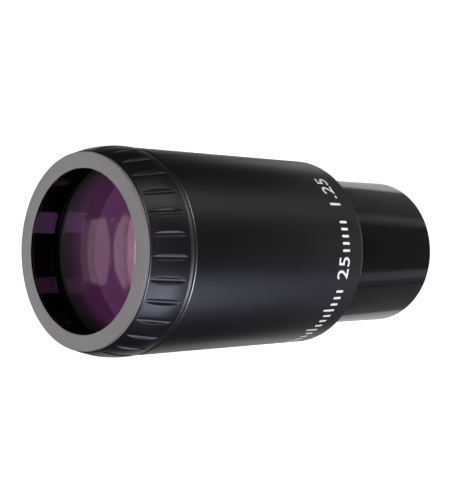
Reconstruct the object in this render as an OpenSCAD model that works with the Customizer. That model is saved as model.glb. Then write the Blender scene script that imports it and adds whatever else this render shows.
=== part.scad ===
// Telescope eyepiece with a twist-up eyecup, for a 1.25 inch focuser. Millimetres.
// +Z is the optical axis and points to the eye. The origin is on the axis at the shoulder,
// where the barrel leaves the body. Heights are measured with the eyecup down.

/* [Barrel] */
// Radius of the barrel that slides into the focuser
barrel_r = 15.85; // [15.8:0.01:15.87]
// Length of the barrel below the shoulder
barrel_len = 29.4; // [27:0.1:32]
// Radius of the wall that carries the filter thread
filter_r = 14.0; // [13.95:0.01:14.1]
// Length of the filter thread
filter_len = 4.6; // [3.5:0.1:5.5]

/* [Body] */
// Radius of the body
body_r = 19.4; // [19.3:0.05:20]
// Height of the body's front edge above the shoulder
body_top = 47.2; // [47.1:0.05:47.3]
// Rounding of the body's rear edge
body_edge = 0.3; // [0.1:0.05:0.5]
// Radius of the collar between body and grip ring
collar_r = 19.35; // [19.2:0.05:19.4]

/* [Grip ring] */
// Number of finger notches
notch_count = 30; // [12:1:32]
// Radius of the tool that cuts a notch
notch_tool_r = 0.7; // [0.5:0.05:0.9]
// Angle of one notch, from +X
notch_phase = -93.2; // [-96:0.1:-84]
// Radius of the ring's domed outline, seen from the side
dome_r = 20.59; // [20.5:0.01:20.7]

/* [Eyecup] */
// Height of the eyecup's face
face_z = 57.6; // [57.55:0.05:57.8]
// Radius of the grey face
face_r = 18.0; // [17.9:0.05:18.1]
// Radius of the opening
opening_r = 15.0; // [14:0.1:15.4]
// Thickness of the face
face_t = 0.7; // [0.6:0.05:0.7]
// How far the eyecup rises
rise = 5.0; // [4:0.25:5]
// How far the grip ring turns for that, in degrees
turn = 90; // [75:5:100]

/* [Optics] */
// Radius of the lens elements
glass_r = 16.15; // [16:0.01:16.15]
// Height of the eye lens's outer face
eye_lens_z = 49.85; // [49.7:0.05:49.9]
// Radius of curvature of the cemented faces
cement_curve = 51; // [50:0.5:55]
// Radius of curvature of the inner faces
inner_curve = 26.3; // [26.2:0.1:27]
// Middle thickness of a crown element
crown_t = 9.0; // [9:0.1:9.3]
// Middle thickness of a flint element
flint_t = 1.6; // [1.4:0.1:1.8]
// Gap between the two inner faces on the axis
lens_gap = 1.0; // [0.8:0.1:1.2]
// Radius of the field stop's hole
stop_r = 11.0; // [9:0.1:12]

/* [Hidden] */
$fn = 96;

fit = 0.02;      // radial room of parts that are screwed or pushed together
run = 0.07;      // radial room of parts that slide or turn
cement = 0.02;   // thickness of the cement layer
over = 1;        // how far a cutting tool reaches past what it cuts

// Nested tubes of the eye end, from the glass outwards
cell_bore = glass_r + fit;
cell_r = cell_bore + 0.4;
cup_bore = cell_r + run;
cup_r = cup_bore + 0.54;
sleeve_bore = cup_r + run;
sleeve_r = sleeve_bore + 0.5;
grip_bore = sleeve_r + run;

// Heights inside the body, from the rear
neck_len = 6;            // barrel neck, screwed in against a step
stop_z = 12.6;           // field stop's rear face
stop_t = 1.2;
land_t = 2.2;            // land in front of the field stop
cell_z = 25.5;           // cell's rear end
flange_z = 36;           // cell's flange
flange_t = 4;
sleeve_z = flange_z + flange_t;
sleeve_top = 56.6;

// Radii inside the body
neck_r = 15.3;
neck_relief = 0.3;       // recess that keeps the body's rear face clear of the barrel's shoulder
stop_out_r = 14.9;
land_r = 14.2;
root_r = 18.2;           // screwed part of the sleeve

// Collar, washer and grip ring
collar_t = 0.95;
collar_z = body_top + collar_t;
washer_t = 0.25;
grip_z = collar_z + fit + washer_t;
grip_top = face_z - face_t - 0.05;
dome_z = face_z - 8.09;  // height at which the grip ring is widest
dome_x = -1.07;          // where the dome's centre lies across the axis

// Snap ring and damping ring
snap_z = 49.0;
snap_t = 0.4;
snap_depth = 0.25;
damp_z = 46.4;
damp_wire = 0.3;

// Guide pins, their slots and grooves
pin_r = 0.6;
pin_z = 50.4;
pin_end = grip_bore + 0.33;
pin_count = 3;
pin_phase = 90;
groove_r = pin_end + 0.1;
groove_half = 0.72;      // half the groove's height
groove_steps = 8;
dome_steps = 9;

cup_z = sleeve_z + 1;
cup_top = face_z - 0.4;  // the tube stands 0.3 mm into the face ring

// Lens faces
cement_z = eye_lens_z - flint_t;             // top of the eye crown
inner_z = cement_z - cement - crown_t;       // lowest point of the eye crown
middle_z = inner_z - lens_gap / 2;           // mirror plane of the two doublets
bevel_w = 0.8;
bevel_h = 0.6;
spacer_in = glass_r - 0.75;

// Point of the grip ring's domed outline at height z
function dome_point(z) = [dome_x + sqrt(dome_r * dome_r - pow(z - dome_z, 2)), z];

// Depth of a sphere of the given curvature at radius r
function sag(curve, r) = curve - sqrt(curve * curve - r * r);

// Tube with plain ends
module tube(r_out, r_in, z0, z1)
    rotate_extrude()
    translate([r_in, z0])
    square([r_out - r_in, z1 - z0]);

// What rounding an outline's corner takes away; dx and dz point from the corner into the solid
module corner_cut(x, z, r, dx, dz)
    translate([x, z])
    difference() {
        square(2 * r, center = true);
        translate([dx * r, dz * r]) circle(r = r);
    }

// Children at each guide pin's angle
module at_pins()
    for (i = [0 : pin_count - 1])
        rotate([0, 0, pin_phase + i * 360 / pin_count])
        children();

// Cylinder that lies along a radius, between two distances from the axis
module radial(r, x0, x1, z)
    translate([x0, 0, z])
    rotate([0, 90, 0])
    cylinder(r = r, h = x1 - x0);

// Two spanner slots across the rear face of a slotted ring
module spanner_slots(x0, x1, z, depth)
    for (side = [0, 180])
        rotate([0, 0, side])
        translate([x0, -0.6, z - over])
        cube([x1 - x0, 1.2, depth + over]);

// The same shape, mirrored in the plane between the two doublets
module mirrored_doublet()
    translate([0, 0, 2 * middle_z])
    mirror([0, 0, 1])
    children();

module body_shell()
    color([0.07, 0.07, 0.08])
    rotate_extrude()
    difference() {
        polygon([
            [barrel_r + fit, neck_relief], [barrel_r + fit, 0], [body_r, 0],
            [body_r, body_top - 0.15], [body_r - 0.15, body_top],
            [root_r + fit, body_top], [root_r + fit, flange_z],
            [cell_r + 0.03, flange_z], [cell_r + 0.03, stop_z + stop_t + land_t],
            [land_r, stop_z + stop_t + land_t], [land_r, stop_z + stop_t],
            [stop_out_r + fit, stop_z + stop_t], [stop_out_r + fit, neck_len],
            [neck_r + fit, neck_len], [neck_r + fit, neck_relief]
        ]);
        corner_cut(body_r, 0, body_edge, -1, 1);
    }

module collar_ring()
    color([0.16, 0.16, 0.18])
    rotate_extrude()
    polygon([
        [sleeve_r + fit, body_top], [collar_r - 0.15, body_top],
        [collar_r, body_top + 0.15], [collar_r, collar_z - 0.4],
        [collar_r - 0.4, collar_z], [sleeve_r + fit, collar_z]
    ]);

module guide_sleeve()
    color([0.3, 0.3, 0.32])
    difference() {
        rotate_extrude()
        polygon([
            [sleeve_bore, sleeve_z], [root_r, sleeve_z], [root_r, body_top],
            [sleeve_r, body_top], [sleeve_r, snap_z],
            [sleeve_r - snap_depth, snap_z], [sleeve_r - snap_depth, snap_z + snap_t],
            [sleeve_r, snap_z + snap_t], [sleeve_r, sleeve_top], [sleeve_bore, sleeve_top],
            [sleeve_bore, damp_z + 0.35], [sleeve_bore + 0.6, damp_z + 0.35],
            [sleeve_bore + 0.6, damp_z - 0.35], [sleeve_bore, damp_z - 0.35]
        ]);
        at_pins() {
            radial(pin_r + run, sleeve_bore - over, sleeve_r + over, pin_z - 0.05);
            radial(pin_r + run, sleeve_bore - over, sleeve_r + over, pin_z + rise + 0.05);
            translate([sleeve_bore - over, -pin_r - run, pin_z])
            cube([2 * over + 0.5, 2 * (pin_r + run), rise]);
        }
    }

module snap_ring()
    color([0.6, 0.6, 0.62])
    difference() {
        tube(grip_bore + 0.42, sleeve_r - snap_depth + fit, snap_z, snap_z + snap_t);
        rotate([0, 0, 30])
        translate([sleeve_r - over, -2, snap_z - over])
        cube([2 * over, 4, snap_t + 2 * over]);
    }

module damping_ring()
    color([0.1, 0.1, 0.1])
    rotate_extrude()
    translate([cup_r + 0.05 + damp_wire, damp_z])
    circle(r = damp_wire);

module lens_cell()
    color([0.09, 0.09, 0.1])
    rotate_extrude()
    polygon([
        [cell_bore, cell_z], [cell_r, cell_z], [cell_r, flange_z],
        [root_r - 0.05, flange_z], [root_r - 0.05, sleeve_z], [cell_r, sleeve_z],
        [cell_r, eye_lens_z - 0.35], [cell_r - 0.1, eye_lens_z - 0.25],
        [glass_r - 0.15, eye_lens_z - 0.25], [glass_r - 0.15, eye_lens_z - bevel_h + 0.13],
        [cell_bore, eye_lens_z - bevel_h]
    ]);

module eye_flint()
    color([0.55, 0.3, 0.65, 0.6])
    rotate_extrude()
    difference() {
        polygon([
            [0, cement_z - sag(cement_curve, glass_r) - 1],
            [glass_r, cement_z - sag(cement_curve, glass_r) - 1],
            [glass_r, eye_lens_z - bevel_h], [glass_r - bevel_w, eye_lens_z],
            [0, eye_lens_z]
        ]);
        translate([0, cement_z - cement_curve]) circle(r = cement_curve);
    }

module eye_crown()
    color([0.6, 0.5, 0.75, 0.6])
    rotate_extrude()
    intersection() {
        translate([0, inner_z]) square([glass_r, crown_t]);
        translate([0, cement_z - cement - cement_curve]) circle(r = cement_curve);
        translate([0, inner_z + inner_curve]) circle(r = inner_curve);
    }

module lens_spacer()
    color([0.12, 0.12, 0.13])
    tube(
        glass_r - 0.02, spacer_in,
        2 * middle_z - inner_z - sag(inner_curve, spacer_in) + 0.01,
        inner_z + sag(inner_curve, spacer_in) - 0.01
    );

module field_crown()
    mirrored_doublet() eye_crown();

module field_flint()
    mirrored_doublet() eye_flint();

module cell_lock_ring()
    color([0.12, 0.12, 0.13])
    difference() {
        tube(glass_r, 14.6, 2 * middle_z - eye_lens_z - 1.3, 2 * middle_z - eye_lens_z - 0.01);
        spanner_slots(14, 15.6, 2 * middle_z - eye_lens_z - 1.3, 0.6);
    }

module field_stop_ring()
    color([0.12, 0.12, 0.13])
    difference() {
        rotate_extrude()
        polygon([
            [stop_r + 1.2, stop_z], [stop_out_r, stop_z], [stop_out_r, stop_z + stop_t],
            [stop_r, stop_z + stop_t], [stop_r, stop_z + stop_t - 0.15]
        ]);
        spanner_slots(stop_r + 2, stop_out_r - 0.5, stop_z, 0.6);
    }

module barrel()
    color([0.03, 0.03, 0.035])
    rotate_extrude()
    difference() {
        polygon([
            [filter_r + 0.4, -barrel_len], [barrel_r, -barrel_len], [barrel_r, 0],
            [neck_r, 0], [neck_r, neck_len], [filter_r + 0.3, neck_len],
            [filter_r + 0.3, filter_len + 0.4 - barrel_len],
            [filter_r, filter_len + 0.4 - barrel_len], [filter_r, 0.4 - barrel_len]
        ]);
        corner_cut(barrel_r, -barrel_len, 0.35, -1, 1);
    }

module barrel_baffle() {
    ridge = 1.0;
    ridges = 20;
    z0 = filter_len + 0.4 - barrel_len;
    z1 = z0 + ridges * ridge;
    x0 = filter_r - 0.7;
    color([0.05, 0.05, 0.05])
    rotate_extrude()
    polygon(concat(
        [[x0, z1], [filter_r + 0.28, z1], [filter_r + 0.28, z0]],
        [for (i = [0 : ridges - 1]) each [[x0, z0 + i * ridge], [x0 + 0.45, z0 + (i + 0.5) * ridge]]]
    ));
}

// One notch: a round tool laid along the chord between the notch's two ends
module notch() {
    low = dome_point(face_z - 8.3);
    high = dome_point(face_z - 1.0);
    lean = atan2(low[0] - high[0], high[1] - low[1]);
    translate([low[0], 0, low[1]])
    rotate([0, -lean, 0])
    translate([notch_tool_r, 0, -over])
    cylinder(r = notch_tool_r, h = high[1] - low[1] + 2 * over);
}

// Helical groove that lifts one pin as the ring turns: flat-sided steps, with a round end at
// each end of the pin's travel
module helical_groove() {
    step_turn = turn / groove_steps;
    step_rise = rise / groove_steps;
    step_run = groove_r * step_turn * PI / 180;
    for (i = [0 : groove_steps - 1])
        rotate([0, 0, -(i + 0.5) * step_turn])
        translate([grip_bore - over, 0, pin_z + (i + 0.5) * step_rise])
        rotate([-atan2(step_rise, step_run), 0, 0])
        translate([0, -step_run / 2 - 0.15, -groove_half])
        cube([over + groove_r - grip_bore, step_run + 0.3, 2 * groove_half]);
    for (end = [0, 1])
        rotate([0, 0, -end * turn])
        radial(groove_half + 0.06, grip_bore - over, groove_r, pin_z + end * rise);
}

module grip_ring()
    color([0.1, 0.1, 0.11])
    difference() {
        rotate_extrude()
        difference() {
            polygon(concat(
                [[grip_bore, grip_top], [grip_bore, grip_z]],
                [for (i = [0 : dome_steps]) dome_point(grip_z + i * (grip_top - grip_z) / dome_steps)]
            ));
            translate([grip_bore - over, snap_z - 0.05]) square([over + 0.48, snap_t + 0.1]);
        }
        for (i = [0 : notch_count - 1])
            rotate([0, 0, notch_phase + i * 360 / notch_count])
            notch();
        at_pins() helical_groove();
    }

module slip_washer()
    color([0.85, 0.85, 0.82])
    tube(collar_r - 0.4, sleeve_r + 0.1, collar_z + fit, grip_z);

module eyecup_tube()
    color([0.05, 0.05, 0.055])
    difference() {
        tube(cup_r, cup_bore, cup_z, cup_top);
        at_pins() radial(pin_r + 0.01, cup_bore - over, cup_r + over, pin_z);
    }

module eye_guard_ring()
    color([0.45, 0.44, 0.44])
    rotate_extrude()
    difference() {
        translate([opening_r, face_z - face_t]) square([face_r - opening_r, face_t]);
        translate([cup_bore - fit, face_z - face_t - over])
        square([cup_r - cup_bore + 2 * fit, over + face_t + cup_top - face_z]);
        corner_cut(opening_r, face_z, 0.15, 1, -1);
        corner_cut(face_r, face_z, 0.15, -1, -1);
    }

module guide_pins()
    color([0.7, 0.7, 0.72])
    at_pins()
    radial(pin_r, cup_bore + 0.02, pin_end, pin_z);

body_shell();
collar_ring();
guide_sleeve();
snap_ring();
damping_ring();
lens_cell();
eye_flint();
eye_crown();
lens_spacer();
field_crown();
field_flint();
cell_lock_ring();
field_stop_ring();
barrel();
barrel_baffle();
grip_ring();
slip_washer();
eyecup_tube();
eye_guard_ring();
guide_pins();
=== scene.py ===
import bpy
import bmesh
import math
from mathutils import Matrix, Vector


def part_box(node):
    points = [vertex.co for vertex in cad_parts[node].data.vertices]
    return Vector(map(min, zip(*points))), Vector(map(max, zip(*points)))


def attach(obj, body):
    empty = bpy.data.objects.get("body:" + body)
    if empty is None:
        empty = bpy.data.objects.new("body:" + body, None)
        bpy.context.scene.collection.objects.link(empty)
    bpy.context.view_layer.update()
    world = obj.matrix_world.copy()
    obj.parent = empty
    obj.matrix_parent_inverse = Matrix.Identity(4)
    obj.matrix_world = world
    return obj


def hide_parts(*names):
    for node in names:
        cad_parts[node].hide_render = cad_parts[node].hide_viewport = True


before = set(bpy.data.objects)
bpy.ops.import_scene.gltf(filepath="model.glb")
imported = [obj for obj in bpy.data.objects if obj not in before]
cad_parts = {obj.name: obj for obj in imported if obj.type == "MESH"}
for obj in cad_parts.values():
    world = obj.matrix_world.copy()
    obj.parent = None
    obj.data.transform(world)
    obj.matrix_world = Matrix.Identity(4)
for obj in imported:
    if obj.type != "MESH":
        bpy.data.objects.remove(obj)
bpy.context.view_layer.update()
mm = 0.001


# Node boxes give the heights and radii that the looks are built on
def nodeRadius(node):
    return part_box(node)[1].x


def nodeBottom(node):
    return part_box(node)[0].z


def nodeTop(node):
    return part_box(node)[1].z


# What the boxes don't give: clearances, wall thicknesses and how far the pins reach into the ring
fitLook = {
    "gap": 0.02 * mm,
    "neckRelief": 0.55 * mm,
    "cupWall": 0.54 * mm,
    "pinReach": 0.33 * mm,
    "faceWidth": 3.0 * mm,
}

gap = fitLook["gap"]
fineSegments = 256                # round the axis, on the parts that are seen closest
bodyRadius = nodeRadius("body_shell")
bodyTop = nodeTop("body_shell")
faceHeight = nodeTop("eye_guard_ring")
barrelEnd = nodeBottom("barrel")
barrelNeck = nodeRadius("barrel") - fitLook["neckRelief"]
glassRadius = nodeRadius("eye_flint")
cupBore = nodeRadius("eyecup_tube") - fitLook["cupWall"]
openingRadius = nodeRadius("eye_guard_ring") - fitLook["faceWidth"]
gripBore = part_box("guide_pins")[1].y - fitLook["pinReach"]     # one of the pins points along +Y


# Puts a finished mesh on its moving body, in place of the CAD nodes that it stands for
def addPiece(name, mesh, body, slotName, *nodes):
    piece = bpy.data.objects.new(name, mesh)
    bpy.context.scene.collection.objects.link(piece)
    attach(piece, body)
    if nodes:
        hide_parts(*nodes)
    return piece


def axisDistance(point):
    return math.hypot(point.x, point.y)


# An outline is a list of (radius, height, rounding); each corner is rounded by its own radius
def roundOutline(outline, closed=True, steps=5):
    points = []
    count = len(outline)
    for index, (radius, height, rounding) in enumerate(outline):
        here = Vector((radius, height))
        if rounding <= 0 or (not closed and index in (0, count - 1)):
            points.append(here)
            continue
        before = (Vector(outline[index - 1][:2]) - here).normalized()
        after = (Vector(outline[(index + 1) % count][:2]) - here).normalized()
        half = before.angle(after) / 2
        reach = rounding / math.tan(half)
        centre = here + (before + after).normalized() * rounding / math.sin(half)
        start = here + before * reach - centre
        end = here + after * reach - centre
        sweep = start.angle_signed(end)
        for step in range(steps + 1):
            turned = start.copy()
            turned.rotate(Matrix.Rotation(-sweep * step / steps, 2))
            points.append(centre + turned)
    return points


# Turned part: the outline swept round the optical axis, with hard corners kept hard
def turnedMesh(name, points, segments=192, closed=True, sharpAngle=32):
    mesh = bmesh.new()
    rings = []
    for point in points:
        if point[0] < 1e-7:
            rings.append([mesh.verts.new((0, 0, point[1]))])
            continue
        rings.append([
            mesh.verts.new((
                point[0] * math.cos(2 * math.pi * k / segments),
                point[0] * math.sin(2 * math.pi * k / segments),
                point[1],
            ))
            for k in range(segments)
        ])
    pairs = list(zip(rings, rings[1:]))
    if closed:
        pairs.append((rings[-1], rings[0]))
    for lower, upper in pairs:
        if len(lower) == 1 and len(upper) == 1:
            continue
        for k in range(segments):
            after = (k + 1) % segments
            corners = [lower[k % len(lower)], lower[after % len(lower)]]
            corners += [upper[after % len(upper)], upper[k % len(upper)]]
            face = []
            for corner in corners:
                if corner not in face:
                    face.append(corner)
            mesh.faces.new(face)
    return finishMesh(name, mesh, sharpAngle)


def finishMesh(name, mesh, sharpAngle=32):
    bmesh.ops.recalc_face_normals(mesh, faces=mesh.faces)
    for face in mesh.faces:
        face.smooth = True
    for edge in mesh.edges:
        if len(edge.link_faces) == 2:
            edge.smooth = edge.calc_face_angle(0) < math.radians(sharpAngle)
    data = bpy.data.meshes.new(name)
    mesh.to_mesh(data)
    mesh.free()
    return data


def newMaterial(name):
    material = bpy.data.materials.new(name)
    material.use_nodes = True
    nodes = material.node_tree.nodes
    nodes.clear()
    output = nodes.new("ShaderNodeOutputMaterial")
    return material, nodes, material.node_tree.links, output


def addNoise(nodes, links, scale, detail, distortion):
    coordinates = nodes.new("ShaderNodeTexCoord")
    texture = nodes.new("ShaderNodeTexNoise")
    texture.inputs["Scale"].default_value = scale
    texture.inputs["Detail"].default_value = detail
    texture.inputs["Distortion"].default_value = distortion
    links.new(coordinates.outputs["Object"], texture.inputs["Vector"])
    return texture


def addRange(nodes, links, source, low, high, fromLow=0.3, fromHigh=0.7):
    spread = nodes.new("ShaderNodeMapRange")
    spread.inputs["From Min"].default_value = fromLow
    spread.inputs["From Max"].default_value = fromHigh
    spread.inputs["To Min"].default_value = low
    spread.inputs["To Max"].default_value = high
    links.new(source, spread.inputs["Value"])
    return spread.outputs["Result"]


def addTones(nodes, links, source, dark, light):
    ramp = nodes.new("ShaderNodeValToRGB")
    ramp.color_ramp.elements[0].position = 0.3
    ramp.color_ramp.elements[0].color = (*dark, 1)
    ramp.color_ramp.elements[1].position = 0.7
    ramp.color_ramp.elements[1].color = (*light, 1)
    links.new(source, ramp.inputs["Fac"])
    return ramp.outputs["Color"]


noiseLook = {
    "toneDetail": 3,
    "toneDistortion": 0.4,
    "grainDetail": 6,
    "cloudDetail": 2,
    "cloudDistortion": 0.6,
    "cloudRange": (0.94, 1.06),
}


# A finish with a fine grain, a slow change of tone and a change of gloss
def grainedFinish(name, look):
    material, nodes, links, output = newMaterial(name)
    shader = nodes.new("ShaderNodeBsdfPrincipled")
    shader.inputs["Metallic"].default_value = look.get("metallic", 0)
    shader.inputs["IOR"].default_value = look.get("ior", 1.5)
    tone = (noiseLook["toneDetail"], noiseLook["toneDistortion"])
    slow = addNoise(nodes, links, look["toneScale"], *tone)
    grain = addNoise(nodes, links, look["grainScale"], noiseLook["grainDetail"], 0.0)
    links.new(
        addTones(nodes, links, slow.outputs["Fac"], look["dark"], look["light"]),
        shader.inputs["Base Color"],
    )
    gloss = addRange(nodes, links, grain.outputs["Fac"], *look["roughness"])
    links.new(gloss, shader.inputs["Roughness"])
    bump = nodes.new("ShaderNodeBump")
    bump.inputs["Strength"].default_value = look["bump"]
    bump.inputs["Distance"].default_value = look["bumpDepth"]
    links.new(grain.outputs["Fac"], bump.inputs["Height"])
    links.new(bump.outputs["Normal"], shader.inputs["Normal"])
    links.new(shader.outputs["BSDF"], output.inputs["Surface"])
    return material


satinBlack = grainedFinish("satinBlack", {
    "dark": (0.0042, 0.0042, 0.0047), "light": (0.0062, 0.0062, 0.0068),
    "roughness": (0.30, 0.36), "toneScale": 60, "grainScale": 9000,
    "bump": 0.10, "bumpDepth": 0.00002, "ior": 1.5,
})
collarBlack = grainedFinish("collarBlack", {
    "dark": (0.010, 0.010, 0.011), "light": (0.014, 0.014, 0.015),
    "roughness": (0.34, 0.42), "toneScale": 90, "grainScale": 7000,
    "bump": 0.08, "bumpDepth": 0.00001, "ior": 1.3,
})
gripBlack = grainedFinish("gripBlack", {
    "dark": (0.0045, 0.0045, 0.0050), "light": (0.0068, 0.0068, 0.0074),
    "roughness": (0.27, 0.34), "toneScale": 90, "grainScale": 7000,
    "bump": 0.12, "bumpDepth": 0.00002, "ior": 1.55,
})
glossBlack = grainedFinish("glossBlack", {
    "dark": (0.0022, 0.0022, 0.0024), "light": (0.0032, 0.0032, 0.0034),
    "roughness": (0.09, 0.13), "toneScale": 40, "grainScale": 4000,
    "bump": 0.03, "bumpDepth": 0.00001, "ior": 1.5,
})
cupBlack = grainedFinish("cupBlack", {
    "dark": (0.0004, 0.0004, 0.0005), "light": (0.0007, 0.0007, 0.0008),
    "roughness": (0.05, 0.08), "toneScale": 60, "grainScale": 5000,
    "bump": 0.02, "bumpDepth": 0.00001, "ior": 1.35,
})
mattBlack = grainedFinish("mattBlack", {
    "dark": (0.003, 0.003, 0.003), "light": (0.005, 0.005, 0.005),
    "roughness": (0.55, 0.7), "toneScale": 70, "grainScale": 6000,
    "bump": 0.15, "bumpDepth": 0.00003, "ior": 1.4,
})
greyFace = grainedFinish("greyFace", {
    "dark": (0.158, 0.152, 0.152), "light": (0.176, 0.170, 0.170),
    "roughness": (0.48, 0.58), "toneScale": 45, "grainScale": 5200,
    "bump": 0.18, "bumpDepth": 0.00003, "ior": 1.4,
})
springSteel = grainedFinish("springSteel", {
    "dark": (0.42, 0.42, 0.44), "light": (0.55, 0.55, 0.57),
    "roughness": (0.22, 0.34), "toneScale": 400, "grainScale": 9000,
    "bump": 0.1, "bumpDepth": 0.00001, "metallic": 1.0,
})
ptfeWhite = grainedFinish("ptfeWhite", {
    "dark": (0.62, 0.62, 0.59), "light": (0.72, 0.72, 0.69),
    "roughness": (0.38, 0.5), "toneScale": 200, "grainScale": 6000,
    "bump": 0.1, "bumpDepth": 0.00002,
})
nitrileBlack = grainedFinish("nitrileBlack", {
    "dark": (0.012, 0.012, 0.012), "light": (0.02, 0.02, 0.02),
    "roughness": (0.35, 0.5), "toneScale": 300, "grainScale": 5000,
    "bump": 0.1, "bumpDepth": 0.00002,
})
printWhite = grainedFinish("printWhite", {
    "dark": (0.80, 0.80, 0.80), "light": (0.88, 0.88, 0.88),
    "roughness": (0.4, 0.5), "toneScale": 500, "grainScale": 9000,
    "bump": 0.08, "bumpDepth": 0.00001,
})


# Coated glass: clear, with a tinted reflection that grows towards grazing angles. Bloom is the
# coloured haze that a coating gives back when it is lit
def coatedGlass(name, look):
    material, nodes, links, output = newMaterial(name)
    clear = nodes.new("ShaderNodeBsdfTransparent")
    clear.inputs["Color"].default_value = (*look["through"], 1)
    mirror = nodes.new("ShaderNodeBsdfGlossy")
    mirror.inputs["Roughness"].default_value = look["roughness"]
    facing = nodes.new("ShaderNodeLayerWeight")
    facing.inputs["Blend"].default_value = 0.5
    tones = nodes.new("ShaderNodeValToRGB")
    tones.color_ramp.elements[0].color = (*look["tint"], 1)
    tones.color_ramp.elements[1].color = (*look["edgeTint"], 1)
    links.new(facing.outputs["Facing"], tones.inputs["Fac"])
    blur = (noiseLook["cloudDetail"], noiseLook["cloudDistortion"])
    cloud = addNoise(nodes, links, look["cloudScale"], *blur)
    mix = nodes.new("ShaderNodeMixShader")
    links.new(tones.outputs["Color"], mirror.inputs["Color"])
    strength = nodes.new("ShaderNodeMath")
    strength.operation = "MULTIPLY"
    ramp = addRange(nodes, links, facing.outputs["Facing"], *look["reflects"], 0, 1)
    links.new(ramp, strength.inputs[0])
    clouded = addRange(nodes, links, cloud.outputs["Fac"], *noiseLook["cloudRange"])
    links.new(clouded, strength.inputs[1])
    links.new(strength.outputs["Value"], mix.inputs["Fac"])
    through = clear.outputs["BSDF"]
    if "bloom" in look:
        bloom = nodes.new("ShaderNodeBsdfDiffuse")
        bloom.inputs["Color"].default_value = (*look["bloom"], 1)
        both = nodes.new("ShaderNodeAddShader")
        links.new(through, both.inputs[0])
        links.new(bloom.outputs["BSDF"], both.inputs[1])
        through = both.outputs["Shader"]
    links.new(through, mix.inputs[1])
    links.new(mirror.outputs["BSDF"], mix.inputs[2])
    links.new(mix.outputs["Shader"], output.inputs["Surface"])
    return material


# The outer faces reflect a weak purple and the inner ones a warmer grey
frontCoating = coatedGlass("frontCoating", {
    "tint": (0.72, 0.16, 0.66), "edgeTint": (0.80, 0.45, 0.85), "through": (0.95, 0.93, 0.95),
    "roughness": 0.03, "reflects": (0.012, 0.045), "cloudScale": 60, "bloom": (0.046, 0.010, 0.040),
})
cementCoating = coatedGlass("cementCoating", {
    "tint": (1.0, 0.74, 0.72), "edgeTint": (1.0, 0.85, 0.85), "through": (0.98, 0.97, 0.98),
    "roughness": 0.10, "reflects": (0.03, 0.11), "cloudScale": 50,
})
innerCoating = coatedGlass("innerCoating", {
    "tint": (1.0, 0.76, 0.78), "edgeTint": (1.0, 0.85, 0.90), "through": (0.96, 0.93, 0.96),
    "roughness": 0.08, "reflects": (0.08, 0.24), "cloudScale": 50,
})
clearCement = coatedGlass("clearCement", {
    "tint": (0.8, 0.7, 0.85), "edgeTint": (0.85, 0.8, 0.9), "through": (0.99, 0.99, 0.99),
    "roughness": 0.03, "reflects": (0.001, 0.006), "cloudScale": 50,
})
# The ground bevel round a flint, tinted by the coating beside it
groundGlass = grainedFinish("groundGlass", {
    "dark": (0.070, 0.036, 0.062), "light": (0.095, 0.052, 0.085),
    "roughness": (0.45, 0.6), "toneScale": 200, "grainScale": 9000,
    "bump": 0.2, "bumpDepth": 0.00002, "ior": 1.5,
})


bodyLook = {
    "rearRound": 0.24 * mm,       # rounding of the shoulder's edge
    "frontBevel": 0.15 * mm,
    "frontRounds": (0.06 * mm, 0.05 * mm),
    "recess": 0.3 * mm,           # depth of the shoulder's recess for the barrel's full diameter
    "cellBore": 16.6 * mm,
    "landBore": 14.2 * mm,
    "landHigh": 2.2 * mm,
}


# From the shoulder's recess up the outside, then down the stepped bore
def makeBody():
    sleeveBore = nodeRadius("guide_sleeve") + gap
    recessBore = nodeRadius("barrel") + gap
    stopBore = nodeRadius("field_stop_ring") + gap
    barrelBore = barrelNeck + gap
    barrelTop = nodeTop("barrel")
    flange = nodeTop("lens_cell") - cellLook["flangeDown"]
    stop = nodeTop("field_stop_ring")
    land = stop + bodyLook["landHigh"]
    recess = bodyLook["recess"]
    bevel = bodyLook["frontBevel"]
    rearOfBevel, frontOfBevel = bodyLook["frontRounds"]
    outline = [
        (barrelBore, recess, 0), (recessBore, recess, 0), (recessBore, 0, 0),
        (bodyRadius, 0, bodyLook["rearRound"]), (bodyRadius, bodyTop - bevel, rearOfBevel),
        (bodyRadius - bevel, bodyTop, frontOfBevel), (sleeveBore, bodyTop, 0),
        (sleeveBore, flange, 0), (bodyLook["cellBore"], flange, 0), (bodyLook["cellBore"], land, 0),
        (bodyLook["landBore"], land, 0), (bodyLook["landBore"], stop, 0), (stopBore, stop, 0),
        (stopBore, barrelTop, 0), (barrelBore, barrelTop, 0),
    ]
    mesh = turnedMesh("body", roundOutline(outline), fineSegments)
    mesh.materials.append(satinBlack)
    addPiece("body", mesh, "housing", "satin_black", "body_shell")


collarLook = {"bevel": 0.42 * mm, "rearBevel": 0.15 * mm, "edge": 0.05 * mm, "snapDepth": 0.47 * mm}


def makeCollar():
    low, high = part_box("collar_ring")
    outer = high.x
    bore = nodeRadius("snap_ring") - collarLook["snapDepth"]
    bevel = collarLook["bevel"]
    rear = collarLook["rearBevel"]
    edge = collarLook["edge"]
    outline = [
        (bore, low.z, 0), (outer - rear, low.z, edge), (outer, low.z + rear, edge),
        (outer, high.z - bevel, edge), (outer - bevel, high.z, edge), (bore, high.z, 0),
    ]
    mesh = turnedMesh("collar", roundOutline(outline), fineSegments)
    mesh.materials.append(collarBlack)
    addPiece("collar", mesh, "housing", "satin_black", "collar_ring")


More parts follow.
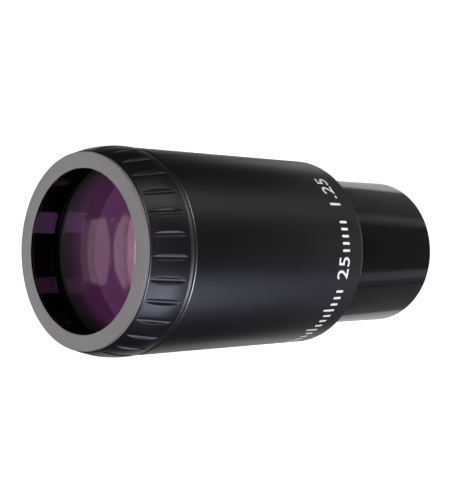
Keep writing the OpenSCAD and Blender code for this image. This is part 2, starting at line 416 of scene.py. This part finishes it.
gripLook = {
    "notches": 30,
    "phase": math.radians(-93.2),
    "domeRadius": 20.59 * mm,
    "domeCentre": -1.07 * mm,     # across the axis
    "domeDrop": 8.09 * mm,        # widest point below the face
    "toolRadius": 0.7 * mm,
    "notchFront": 1.0 * mm,       # both ends, below the face
    "notchRear": 8.3 * mm,
    "edge": 0.16 * mm,
    "soft": 0.07 * mm,            # width of a notch's softened edge
    "softEdge": ((-0.35, 0.42), (0.25, 0.08), (1.0, 0.0)),    # shares of that width and of the drop
    "tip": 0.06 * mm,             # half width at which a notch ends
    "rows": 44,
    "cutSteps": 5,
    "edgeSteps": 5,
    "softShare": 0.4,             # most of a notch's half width that softening may take
    "landShares": (0.3, 0.65, 1.0),
    "sharpAngle": 40,
    "snapGap": 0.05 * mm,         # round the snap ring in its groove
}


# The ring's outside is a dome: an arc about a centre that lies off the axis
def domeRadiusAt(height):
    across = faceHeight - gripLook["domeDrop"] - height
    return gripLook["domeCentre"] + math.sqrt(gripLook["domeRadius"] ** 2 - across ** 2)


# How deep a notch is under the dome at this height
def notchDepth(height):
    front = faceHeight - gripLook["notchFront"]
    rear = faceHeight - gripLook["notchRear"]
    if not rear < height < front:
        return 0.0
    share = (height - rear) / (front - rear)
    chord = domeRadiusAt(rear) * (1 - share) + domeRadiusAt(front) * share
    return max(0.0, domeRadiusAt(height) - chord)


# Surface points across one notch pitch, from one land's middle to the next: (offset, drop)
def pitchPoints(height, pitchWidth):
    tool = gripLook["toolRadius"]
    depth = notchDepth(height)
    wide = max(gripLook["tip"], math.sqrt(max(0.0, 2 * tool * depth - depth * depth)))
    soft = min(gripLook["soft"], wide * gripLook["softShare"])
    points = []
    steps = gripLook["cutSteps"]
    for step in range(-steps, steps + 1):
        x = step / steps * (wide - soft)
        points.append((x, max(0.0, depth - tool + math.sqrt(tool * tool - x * x))))
    edge = [(wide + along * soft, points[-1][1] * kept) for along, kept in gripLook["softEdge"]]
    right = points + edge
    left = [(-x, drop) for x, drop in reversed(edge)]
    start = wide + soft
    reach = pitchWidth / 2 - start
    land = [(start + reach * share, 0.0) for share in gripLook["landShares"]]
    mirrored = [(-x, drop) for x, drop in reversed(land[:-1])]
    return mirrored + left + right + land


def ringVertex(mesh, radius, angle, height):
    return mesh.verts.new((radius * math.cos(angle), radius * math.sin(angle), height))


# Rows of vertices up the dome, down the bore past the snap ring's groove, and closed below
def makeGripRing():
    low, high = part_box("grip_ring")
    edge = gripLook["edge"]
    rows = gripLook["rows"]
    edgeSteps = gripLook["edgeSteps"]
    rings = []                    # (height, how far the rounded edge lies inside the dome)
    for step in range(edgeSteps):
        turned = math.pi / 2 * step / edgeSteps
        rings.append((low.z + edge * (1 - math.cos(turned)), edge * (1 - math.sin(turned))))
    upper = [(low.z + high.z - height, drop) for height, drop in reversed(rings)]
    straight = high.z - low.z - 2 * edge
    rings += [(low.z + edge + straight * row / rows, 0.0) for row in range(rows + 1)]
    rings += upper
    mesh = bmesh.new()
    grid = []
    pitch = 2 * math.pi / gripLook["notches"]
    for height, extra in rings:
        outer = domeRadiusAt(height)
        line = []
        for k in range(gripLook["notches"]):
            middle = gripLook["phase"] + k * pitch
            for x, drop in pitchPoints(height, pitch * outer):
                line.append(ringVertex(mesh, outer - extra - drop, middle + x / outer, height))
        grid.append(line)
    count = len(grid[0])
    snapGap = gripLook["snapGap"]
    seat = nodeRadius("snap_ring") + snapGap
    seatTop = nodeTop("snap_ring") + snapGap
    seatBottom = nodeBottom("snap_ring") - snapGap
    profile = [
        (gripBore, high.z), (gripBore, seatTop), (seat, seatTop),
        (seat, seatBottom), (gripBore, seatBottom), (gripBore, low.z),
    ]
    angles = [math.atan2(vertex.co.y, vertex.co.x) for vertex in grid[0]]
    for radius, height in profile:
        grid.append([ringVertex(mesh, radius, angle, height) for angle in angles])
    for lower, upper in zip(grid, grid[1:] + grid[:1]):
        for k in range(count):
            after = (k + 1) % count
            mesh.faces.new([lower[k], lower[after], upper[after], upper[k]])
    data = finishMesh("gripRing", mesh, gripLook["sharpAngle"])
    data.materials.append(gripBlack)
    piece = addPiece("gripRing", data, "grip", "satin_black", "grip_ring")
    cutGrooves(piece)


# The three helical grooves in the ring's bore, cut with swept tools
grooveLook = {
    "count": 3,
    "phase": math.radians(90),
    "turn": math.radians(90),
    "rise": 5 * mm,
    "half": 0.72 * mm,            # half the groove's width
    "depth": 0.43 * mm,
    "overrun": 0.03,              # how much further each end goes, as a share of the whole
    "steps": 40,
}


def cutGrooves(piece):
    start = (nodeBottom("guide_pins") + nodeTop("guide_pins")) / 2
    inner = gripBore - mm
    outer = gripBore + grooveLook["depth"]
    overrun = grooveLook["overrun"]
    steps = grooveLook["steps"]
    half = grooveLook["half"]
    tool = bmesh.new()
    for groove in range(grooveLook["count"]):
        lines = []
        base = grooveLook["phase"] + groove * 2 * math.pi / grooveLook["count"]
        for step in range(steps + 1):
            share = (1 + 2 * overrun) * step / steps - overrun
            angle = base - grooveLook["turn"] * share
            middle = start + grooveLook["rise"] * share
            corners = ((inner, -half), (outer, -half), (outer, half), (inner, half))
            lines.append([ringVertex(tool, radius, angle, middle + lift) for radius, lift in corners])
        for first, second in zip(lines, lines[1:]):
            for k in range(4):
                tool.faces.new([first[k], first[(k + 1) % 4], second[(k + 1) % 4], second[k]])
        tool.faces.new(lines[0])
        tool.faces.new(list(reversed(lines[-1])))
    bmesh.ops.recalc_face_normals(tool, faces=tool.faces)
    data = bpy.data.meshes.new("grooveTool")
    tool.to_mesh(data)
    tool.free()
    cutter = bpy.data.objects.new("grooveTool", data)
    bpy.context.scene.collection.objects.link(cutter)
    cut = piece.modifiers.new("grooves", "BOOLEAN")
    cut.operation = "DIFFERENCE"
    cut.solver = "MANIFOLD"
    cut.object = cutter
    bpy.context.view_layer.objects.active = piece
    bpy.ops.object.select_all(action="DESELECT")
    piece.select_set(True)
    bpy.ops.object.modifier_apply(modifier=cut.name)
    bpy.data.objects.remove(cutter)


faceLook = {"edge": 0.16 * mm, "rearRound": 0.1 * mm, "seat": 0.3 * mm}


# The ring is grey; its bore takes the cup's black finish as painted shade on the dark inner lip
def makeFaceRing():
    low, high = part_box("eye_guard_ring")
    edge = faceLook["edge"]
    rear = faceLook["rearRound"]
    seat = low.z + faceLook["seat"]
    seatOuter = nodeRadius("eyecup_tube") + gap
    outline = [
        (openingRadius, low.z, rear), (cupBore - gap, low.z, 0), (cupBore - gap, seat, 0),
        (seatOuter, seat, 0), (seatOuter, low.z, 0), (high.x, low.z, rear),
        (high.x, high.z, edge), (openingRadius, high.z, edge),
    ]
    mesh = turnedMesh("faceRing", roundOutline(outline), fineSegments)
    mesh.materials.append(greyFace)
    mesh.materials.append(cupBlack)
    # Painted shade: the bore's faces get the black finish so the inner lip reads dark
    for face in mesh.polygons:
        if axisDistance(face.center) < openingRadius + 0.01 * mm:
            face.material_index = 1
    addPiece("faceRing", mesh, "eyecup", "grey_face", "eye_guard_ring")


cupLook = {"rearRound": 0.1 * mm}


def makeCupTube():
    low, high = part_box("eyecup_tube")
    rear = cupLook["rearRound"]
    outline = [(cupBore, low.z, rear), (high.x, low.z, rear), (high.x, high.z, 0), (cupBore, high.z, 0)]
    mesh = turnedMesh("cupTube", roundOutline(outline), fineSegments)
    mesh.materials.append(cupBlack)
    addPiece("cupTube", mesh, "eyecup", "cup_black", "eyecup_tube")


barrelLook = {
    "endRound": 0.35 * mm,
    "mouthRound": 0.08 * mm,
    "boreRound": 0.1 * mm,
    "neckRound": 0.2 * mm,
    "mouthBevel": 0.4 * mm,       # leads into the thread
    "threadPitch": 0.6 * mm,
    "threadDepth": 0.3 * mm,
    "threadTurns": 7,
    "rowsPerTurn": 10,
    "threadStart": 0.42 * mm,     # above the free end
    "threadEnd": 0.06 * mm,       # below the baffle
}


# Vertices on the thread's crest move out to a V that climbs one pitch in a turn
def cutThread(mesh, crest, first, last):
    pitch = barrelLook["threadPitch"]
    for vertex in mesh.vertices:
        radius = axisDistance(vertex.co)
        if abs(radius - crest) > 0.001 * mm or not first < vertex.co.z < last:
            continue
        turn = math.atan2(vertex.co.y, vertex.co.x) / (2 * math.pi)
        phase = (vertex.co.z / pitch - turn) % 1.0
        ease = min(1.0, (vertex.co.z - first) / pitch, (last - vertex.co.z) / pitch)
        grown = 1 + barrelLook["threadDepth"] * ease * (1 - abs(2 * phase - 1)) / radius
        vertex.co.x *= grown
        vertex.co.y *= grown


# The barrel is one turned skin, glossy outside and matt inside
def makeBarrel():
    outer = nodeRadius("barrel")
    neck = barrelNeck
    top = nodeTop("barrel")
    step = nodeBottom("barrel_baffle")
    bore = nodeRadius("barrel_baffle") + gap
    thread = bore - barrelLook["threadDepth"]
    bevel = barrelLook["mouthBevel"]
    outline = [
        (thread, step, 0), (bore, step, 0), (bore, top, barrelLook["boreRound"]),
        (neck, top, barrelLook["neckRound"]), (neck, 0, 0), (outer, 0, 0),
        (outer, barrelEnd, barrelLook["endRound"]),
        (thread + bevel, barrelEnd, barrelLook["mouthRound"]), (thread, barrelEnd + bevel, 0),
    ]
    points = roundOutline(outline)
    rows = barrelLook["threadTurns"] * barrelLook["rowsPerTurn"]
    first = barrelEnd + barrelLook["threadStart"]
    last = step - barrelLook["threadEnd"]
    for row in range(rows + 1):
        points.append(Vector((thread, first + (last - first) * row / rows)))
    mesh = turnedMesh("barrel", points)
    cutThread(mesh, thread, first, last)
    mesh.materials.append(glossBlack)
    mesh.materials.append(mattBlack)
    for face in mesh.polygons:
        if axisDistance(face.center) < bore + barrelLook["boreRound"]:
            face.material_index = 1
    addPiece("barrel", mesh, "housing", "gloss_black", "barrel")


glassLook = {
    "segments": 160,
    "sharpAngle": 20,
    "rows": 28,                   # steps along a curved face
    "flatRows": 8,
    "bevelWide": 0.8 * mm,
    "bevelHigh": 0.6 * mm,
    "cementCurve": 51 * mm,
    "innerCurve": 26.3 * mm,
    "rimSlope": 0.05,             # faces that look along the axis less than this are rim
}


def sagAt(curve, radius):
    return curve - math.sqrt(curve * curve - radius * radius)


# Points of a spherical face, from the axis out to the rim
def arcLine(curve, apex, direction):
    rows = glassLook["rows"]
    line = []
    for row in range(rows + 1):
        radius = glassRadius * row / rows
        line.append(Vector((radius, apex + direction * sagAt(curve, radius))))
    return line


def glassMesh(name, front, rear):
    points = front + rear[::-1]
    return turnedMesh(name, points, glassLook["segments"], closed=False, sharpAngle=glassLook["sharpAngle"])


# The outer element of a doublet; direction is 1 for the eye lens and -1 for the field lens.
# Its flat face is coated, its curved one cemented and its bevel ground
def makeFlint(name, node, outerFace, cementApex, direction, coating):
    flat = glassRadius - glassLook["bevelWide"]
    bevelHigh = glassLook["bevelHigh"]
    rows = glassLook["flatRows"]
    outer = [Vector((flat * row / rows, outerFace)) for row in range(rows + 1)]
    outer.append(Vector((glassRadius, outerFace - direction * bevelHigh)))
    inner = arcLine(glassLook["cementCurve"], cementApex, -direction)
    mesh = glassMesh(name, outer, inner)
    paintGlass(mesh, coating, clearCement)
    mesh.materials.append(groundGlass)
    for face in mesh.polygons:
        depth = (outerFace - face.center.z) * direction
        if face.material_index == 0 and depth > bevelHigh + 0.001 * mm:
            face.material_index = 1
        if depth < bevelHigh and axisDistance(face.center) > flat:
            face.material_index = 3
    addPiece(name, mesh, "housing", "coated_glass", node)


# The inner element, with a cemented face and a steeper one towards the other doublet
def makeCrown(name, node, cementApex, innerApex, direction):
    cemented = arcLine(glassLook["cementCurve"], cementApex, -direction)
    inner = arcLine(glassLook["innerCurve"], innerApex, direction)
    mesh = glassMesh(name, cemented, inner)
    paintGlass(mesh, cementCoating, innerCoating)
    middle = (cementApex + innerApex) / 2
    for face in mesh.polygons:
        if face.material_index == 0 and (face.center.z - middle) * direction < 0:
            face.material_index = 1
    addPiece(name, mesh, "housing", "clear_glass", node)


# The ground rim is blackened; the polished faces start with the first coating
def paintGlass(mesh, first, second):
    mesh.materials.append(first)
    mesh.materials.append(second)
    mesh.materials.append(mattBlack)
    for face in mesh.polygons:
        if abs(face.normal.z) < glassLook["rimSlope"]:
            face.material_index = 2


cellLook = {
    "flangeDown": 13.6 * mm,      # flange's underside, below the cell's front
    "flangeHigh": 4 * mm,
    "slack": 0.07 * mm,           # between the cell and the sliding cup
    "lip": 0.15 * mm,             # how far the front lip covers the glass
    "lipHigh": 0.22 * mm,
    "lipSeat": 0.35 * mm,
    "rearRound": 0.05 * mm,
    "frontRound": 0.1 * mm,
    "lipRound": 0.04 * mm,
}


def makeCell():
    low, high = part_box("lens_cell")
    outer = cupBore - cellLook["slack"]
    bore = glassRadius + gap
    lip = glassRadius - cellLook["lip"]
    flange = high.z - cellLook["flangeDown"]
    flangeTop = flange + cellLook["flangeHigh"]
    outline = [
        (bore, low.z, 0), (outer, low.z, cellLook["rearRound"]), (outer, flange, 0),
        (high.x, flange, 0), (high.x, flangeTop, 0), (outer, flangeTop, 0),
        (outer, high.z, cellLook["frontRound"]), (lip, high.z, cellLook["lipRound"]),
        (lip, high.z - cellLook["lipHigh"], 0), (bore, high.z - cellLook["lipSeat"], 0),
    ]
    mesh = turnedMesh("lensCell", roundOutline(outline))
    mesh.materials.append(mattBlack)
    addPiece("lensCell", mesh, "housing", "matt_black", "lens_cell")


# Numerals and index ticks are printed round the body near the shoulder. around is the angle
# from the front line (-Y), positive the way the numerals read.
markLook = {
    "base": 4.3 * mm,             # above the shoulder
    "height": 3.4 * mm,
    "capShare": 0.73,             # numerals' height as a share of the typeface's size
    "bold": 0.03 * mm,
    "lift": 0.012 * mm,
    "thick": 0.02 * mm,
    "tickWide": 0.5 * mm,
    "tickShort": 2.2 * mm,
    "tickRound": 0.12 * mm,
    "longest": 0.6 * mm,          # longest edge that is left when a numeral is wrapped
}


# Bends a flat mark round the body: across becomes an angle and along becomes a height
def wrapOnBody(mesh, around, base):
    for vertex in mesh.vertices:
        angle = math.radians(-90 + around) + vertex.co.x / bodyRadius
        radius = bodyRadius + markLook["lift"] + vertex.co.z
        vertex.co = (radius * math.cos(angle), radius * math.sin(angle), base + vertex.co.y)


# Splits long edges, so that a numeral bends evenly
def refine(data):
    longest = markLook["longest"]
    mesh = bmesh.new()
    mesh.from_mesh(data)
    bmesh.ops.triangulate(mesh, faces=mesh.faces)
    for _ in range(4):
        long = [edge for edge in mesh.edges if edge.calc_length() > longest]
        if not long:
            break
        bmesh.ops.subdivide_edges(mesh, edges=long, cuts=1)
        bmesh.ops.triangulate(mesh, faces=mesh.faces)
    mesh.to_mesh(data)
    mesh.free()


def addNumerals(name, words, around, spacing):
    curve = bpy.data.curves.new(name, "FONT")
    curve.body = words
    curve.size = markLook["height"] / markLook["capShare"]
    curve.offset = markLook["bold"]
    curve.space_character = spacing
    curve.extrude = markLook["thick"] / 2
    curve.resolution_u = 6
    text = bpy.data.objects.new(name, curve)
    bpy.context.scene.collection.objects.link(text)
    bpy.context.view_layer.update()
    data = bpy.data.meshes.new_from_object(text)
    bpy.data.objects.remove(text)
    bpy.data.curves.remove(curve)
    refine(data)
    wrapOnBody(data, around, markLook["base"])
    data.materials.clear()
    data.materials.append(printWhite)
    addPiece(name, data, "housing", "ptfe")


def addTick(name, around, height):
    mesh = bmesh.new()
    bmesh.ops.create_cube(mesh, size=1)
    for vertex in mesh.verts:
        vertex.co.x *= markLook["tickWide"]
        vertex.co.y = (vertex.co.y + 0.5) * height
        vertex.co.z *= markLook["thick"]
    upright = [edge for edge in mesh.edges if abs(edge.verts[0].co.z - edge.verts[1].co.z) > 1e-9]
    bmesh.ops.bevel(mesh, geom=upright, offset=markLook["tickRound"], segments=3, affect="EDGES")
    data = bpy.data.meshes.new(name)
    mesh.to_mesh(data)
    mesh.free()
    wrapOnBody(data, around, markLook["base"])
    data.materials.append(printWhite)
    addPiece(name, data, "housing", "ptfe")


stageLook = {"size": 6.0, "drop": 0.1 * mm, "paper": (0.5, 0.5, 0.5), "tone": 0.93}


def makeFloor():
    mesh = bmesh.new()
    bmesh.ops.create_grid(mesh, x_segments=8, y_segments=8, size=stageLook["size"] / 2)
    data = bpy.data.meshes.new("floor")
    mesh.to_mesh(data)
    mesh.free()
    floor = bpy.data.objects.new("floor", data)
    floor.location.z = barrelEnd - stageLook["drop"]
    bpy.context.scene.collection.objects.link(floor)
    material, nodes, links, output = newMaterial("paleFloor")
    paper = nodes.new("ShaderNodeBsdfDiffuse")
    paper.inputs["Color"].default_value = (*stageLook["paper"], 1)
    glow = nodes.new("ShaderNodeEmission")
    glow.inputs["Color"].default_value = (1, 1, 1, 1)
    glow.inputs["Strength"].default_value = stageLook["tone"]
    both = nodes.new("ShaderNodeAddShader")
    links.new(paper.outputs["BSDF"], both.inputs[0])
    links.new(glow.outputs["Emission"], both.inputs[1])
    links.new(both.outputs["Shader"], output.inputs["Surface"])
    data.materials.append(material)
    floor.visible_glossy = False
    floor.visible_diffuse = False
    floor.visible_shadow = False
    floor.visible_transmission = False


def directionAt(azimuth, elevation):
    a = math.radians(azimuth)
    e = math.radians(elevation)
    return Vector((math.sin(a) * math.cos(e), -math.cos(a) * math.cos(e), math.sin(e)))


# Each softbox is an upright panel round the eyepiece's axis: its middle azimuth and half width,
# and the elevations of its lower and upper edge, in degrees; radiance is how bright its face is
softboxes = [
    {"name": "stripLow", "azimuth": -44, "half": 17, "low": -51.3, "high": -34, "distance": 0.8,
     "radiance": 0.64, "colour": (0.82, 0.88, 1.30)},
    {"name": "stripHigh", "azimuth": 53, "half": 14, "low": -51.3, "high": -34, "distance": 0.8,
     "radiance": 0.50, "colour": (1.0, 1.0, 0.98)},
    {"name": "gripLow", "azimuth": -46, "half": 17, "low": -33, "high": 6, "distance": 0.8,
     "radiance": 3.4, "colour": (0.86, 0.90, 1.18)},
    {"name": "gripHigh", "azimuth": 53, "half": 14, "low": -33, "high": 6, "distance": 0.8,
     "radiance": 1.0, "colour": (1.0, 1.0, 0.98)},
    {"name": "barrelLow", "azimuth": -43, "half": 7, "low": -68, "high": -52.0, "distance": 0.7,
     "radiance": 0.26, "colour": (0.90, 0.94, 1.20)},
    {"name": "barrelLowWide", "azimuth": -46, "half": 14, "low": -68, "high": -52.8, "distance": 0.74,
     "radiance": 0.18, "colour": (0.95, 0.97, 1.12)},
    {"name": "barrelHigh", "azimuth": 58, "half": 6, "low": -68, "high": -52.0, "distance": 0.7,
     "radiance": 0.16, "colour": (1.0, 1.0, 1.0)},
    {"name": "barrelHighWide", "azimuth": 58, "half": 13, "low": -68, "high": -52.8, "distance": 0.74,
     "radiance": 0.20, "colour": (1.0, 1.0, 1.0)},
    {"name": "barrelFront", "azimuth": 6, "half": 38, "low": -68, "high": -54.2, "distance": 0.7,
     "radiance": 0.075, "colour": (1.0, 1.0, 1.0)},
    {"name": "barrelSideLow", "azimuth": -98, "half": 36, "low": -68, "high": -52.6, "distance": 0.7,
     "radiance": 0.17, "colour": (1.0, 1.0, 1.0)},
    {"name": "barrelSideHigh", "azimuth": 108, "half": 36, "low": -68, "high": -52.6, "distance": 0.7,
     "radiance": 0.17, "colour": (1.0, 1.0, 1.0)},
    {"name": "backdrop", "azimuth": 186, "half": 42, "low": -52, "high": -30, "distance": 1.0,
     "radiance": 0.55, "colour": (1, 1, 1)},
    {"name": "backdropRear", "azimuth": 180, "half": 49, "low": -68, "high": -52.2, "distance": 1.0,
     "radiance": 0.6, "colour": (1, 1, 1)},
    {"name": "lensBoxFar", "azimuth": 180, "half": 16.7, "low": 24.9, "high": 46.2, "distance": 0.5,
     "radiance": 2.0, "colour": (1.0, 1.0, 1.0)},
    {"name": "lensBoxNear", "azimuth": 180, "half": 16.7, "low": 48.1, "high": 66, "distance": 0.4,
     "radiance": 3.6, "colour": (1.0, 0.98, 1.0)},
]

# Windows behind the viewer are only mirrored: the cup's glossy wall and the lens show them
windows = [
    {"name": "windowLow", "azimuth": -38, "half": 14, "low": 35, "high": 44, "distance": 0.8,
     "radiance": 75, "colour": (0.95, 0.95, 1.1)},
    {"name": "windowHigh", "azimuth": 45, "half": 11, "low": 35, "high": 44, "distance": 0.8,
     "radiance": 30, "colour": (1.0, 0.9, 0.9)},
]

# Level panels: middle and size across and along, and height
panels = [
    {"name": "overhead", "middle": (0, -0.12), "size": (0.50, 0.29), "height": 0.6, "radiance": 1.2},
    {"name": "underneath", "middle": (0, 0), "size": (0.3, 0.3), "height": -0.7, "radiance": 4.0},
]

# Lamps that light the finishes but aren't mirrored in them: the key for the body's front and a
# close one over the face
softLamps = [
    {"name": "key", "at": (0, -0.69, 0.14), "size": 0.45, "radiance": 7.3},
    {"name": "faceLamp", "at": (-0.012, 0.08, 0.21), "size": 0.05, "radiance": 25},
]


def addLamp(name, wide, high, radiance, colour=(1, 1, 1)):
    light = bpy.data.lights.new(name, "AREA")
    light.shape = "RECTANGLE"
    light.size = wide
    light.size_y = high
    light.energy = radiance * math.pi * wide * high
    light.color = colour
    lamp = bpy.data.objects.new(name, light)
    bpy.context.scene.collection.objects.link(lamp)
    lamp.rotation_mode = "QUATERNION"
    lamp.visible_camera = False
    return lamp


def addSoftbox(look):
    reach = look["distance"]
    lowEdge = reach * math.tan(math.radians(look["low"]))
    highEdge = reach * math.tan(math.radians(look["high"]))
    wide = 2 * reach * math.tan(math.radians(look["half"]))
    lamp = addLamp(look["name"], wide, highEdge - lowEdge, look["radiance"], look["colour"])
    towards = directionAt(look["azimuth"], 0)
    lamp.location = towards * reach + Vector((0, 0, (highEdge + lowEdge) / 2))
    lamp.rotation_quaternion = towards.to_track_quat("Z", "Y")
    return lamp


def addPanel(look):
    lamp = addLamp(look["name"], *look["size"], look["radiance"])
    lamp.location = (*look["middle"], look["height"])
    facing = 1 if look["height"] > 0 else -1
    lamp.rotation_quaternion = Vector((0, 0, facing)).to_track_quat("Z", "Y")


def addSoftLamp(look):
    lamp = addLamp(look["name"], look["size"], look["size"], look["radiance"])
    lamp.location = look["at"]
    towards = (Vector(look["at"]) - Vector((0, 0, 0.04))).normalized()
    lamp.rotation_quaternion = towards.to_track_quat("Z", "Y")
    lamp.visible_glossy = False


# The camera sees a pale room, but the pieces are lit and mirrored as in a dim one
worldLook = {"seen": (0.95, 0.95, 0.95), "dim": (0.02, 0.02, 0.021)}


def makeWorld():
    world = bpy.data.worlds.new("studio")
    bpy.context.scene.world = world
    world.use_nodes = True
    nodes = world.node_tree.nodes
    nodes.clear()
    output = nodes.new("ShaderNodeOutputWorld")
    pale = nodes.new("ShaderNodeBackground")
    pale.inputs["Color"].default_value = (*worldLook["seen"], 1)
    dim = nodes.new("ShaderNodeBackground")
    dim.inputs["Color"].default_value = (*worldLook["dim"], 1)
    path = nodes.new("ShaderNodeLightPath")
    mix = nodes.new("ShaderNodeMixShader")
    links = world.node_tree.links
    links.new(path.outputs["Is Camera Ray"], mix.inputs["Fac"])
    links.new(dim.outputs["Background"], mix.inputs[1])
    links.new(pale.outputs["Background"], mix.inputs[2])
    links.new(mix.outputs["Shader"], output.inputs["Surface"])


cameraLook = {"aim": 20.4 * mm, "distance": 232.2 * mm, "elevation": 45.63, "lens": 81.93, "sensor": 36}


# The camera looks down on the eye end and is rolled so that the barrel points to the right
def makeCamera():
    data = bpy.data.cameras.new("camera")
    data.lens = cameraLook["lens"]
    data.sensor_width = cameraLook["sensor"]
    data.sensor_fit = "AUTO"
    data.clip_start = 0.01
    data.clip_end = 20
    camera = bpy.data.objects.new("camera", data)
    bpy.context.scene.collection.objects.link(camera)
    back = directionAt(0, cameraLook["elevation"])
    up = Vector((1, 0, 0))
    side = up.cross(back)
    camera.location = Vector((0, 0, cameraLook["aim"])) + back * cameraLook["distance"]
    camera.rotation_mode = "QUATERNION"
    camera.rotation_quaternion = Matrix((side, up, back)).transposed().to_quaternion()
    bpy.context.scene.camera = camera


makeCamera()
makeWorld()
makeFloor()
for look in softboxes:
    addSoftbox(look)
for look in windows:
    addSoftbox(look).visible_diffuse = False
for look in panels:
    addPanel(look)
for look in softLamps:
    addSoftLamp(look)
print("stage, lights and camera made")

makeBody()
makeCollar()
makeGripRing()
makeFaceRing()
makeCupTube()
makeBarrel()
print("turned parts made")

makeCell()
eyeFace = nodeTop("eye_flint")
fieldFace = nodeBottom("field_flint")
makeFlint("eyeFlint", "eye_flint", eyeFace, nodeTop("eye_crown") + 0.02 * mm, 1, frontCoating)
makeCrown("eyeCrown", "eye_crown", nodeTop("eye_crown"), nodeBottom("eye_crown"), 1)
makeCrown("fieldCrown", "field_crown", nodeBottom("field_crown"), nodeTop("field_crown"), -1)
makeFlint("fieldFlint", "field_flint", fieldFace, nodeBottom("field_crown") - 0.02 * mm, -1, frontCoating)
print("glass made")

# Degrees from the front line: where each row of ticks starts, and its pitch
focalTicks = {"count": 12, "start": -74, "pitch": 4.5, "longEvery": 4}
unitTicks = {"count": 5, "start": 0.5, "pitch": 4.3}
for index in range(focalTicks["count"]):
    height = markLook["tickShort"] if index % focalTicks["longEvery"] else markLook["height"]
    addTick("tick%d" % index, focalTicks["start"] + index * focalTicks["pitch"], height)
addNumerals("focalNumerals", "25", -17, 1.1)
for index in range(unitTicks["count"]):
    addTick("unitTick%d" % index, unitTicks["start"] + index * unitTicks["pitch"], markLook["tickShort"])
addNumerals("barrelNumerals", "1.25", 26, 1.05)
print("marks printed")

finishes = {
    "guide_sleeve": mattBlack, "snap_ring": springSteel, "damping_ring": nitrileBlack,
    "lens_spacer": mattBlack, "cell_lock_ring": mattBlack, "field_stop_ring": mattBlack,
    "barrel_baffle": mattBlack, "slip_washer": ptfeWhite, "guide_pins": springSteel,
}
for node, finish in finishes.items():
    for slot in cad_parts[node].material_slots:
        slot.material = finish
print("inner parts finished")

bpy.context.scene.view_settings.view_transform = "Standard"
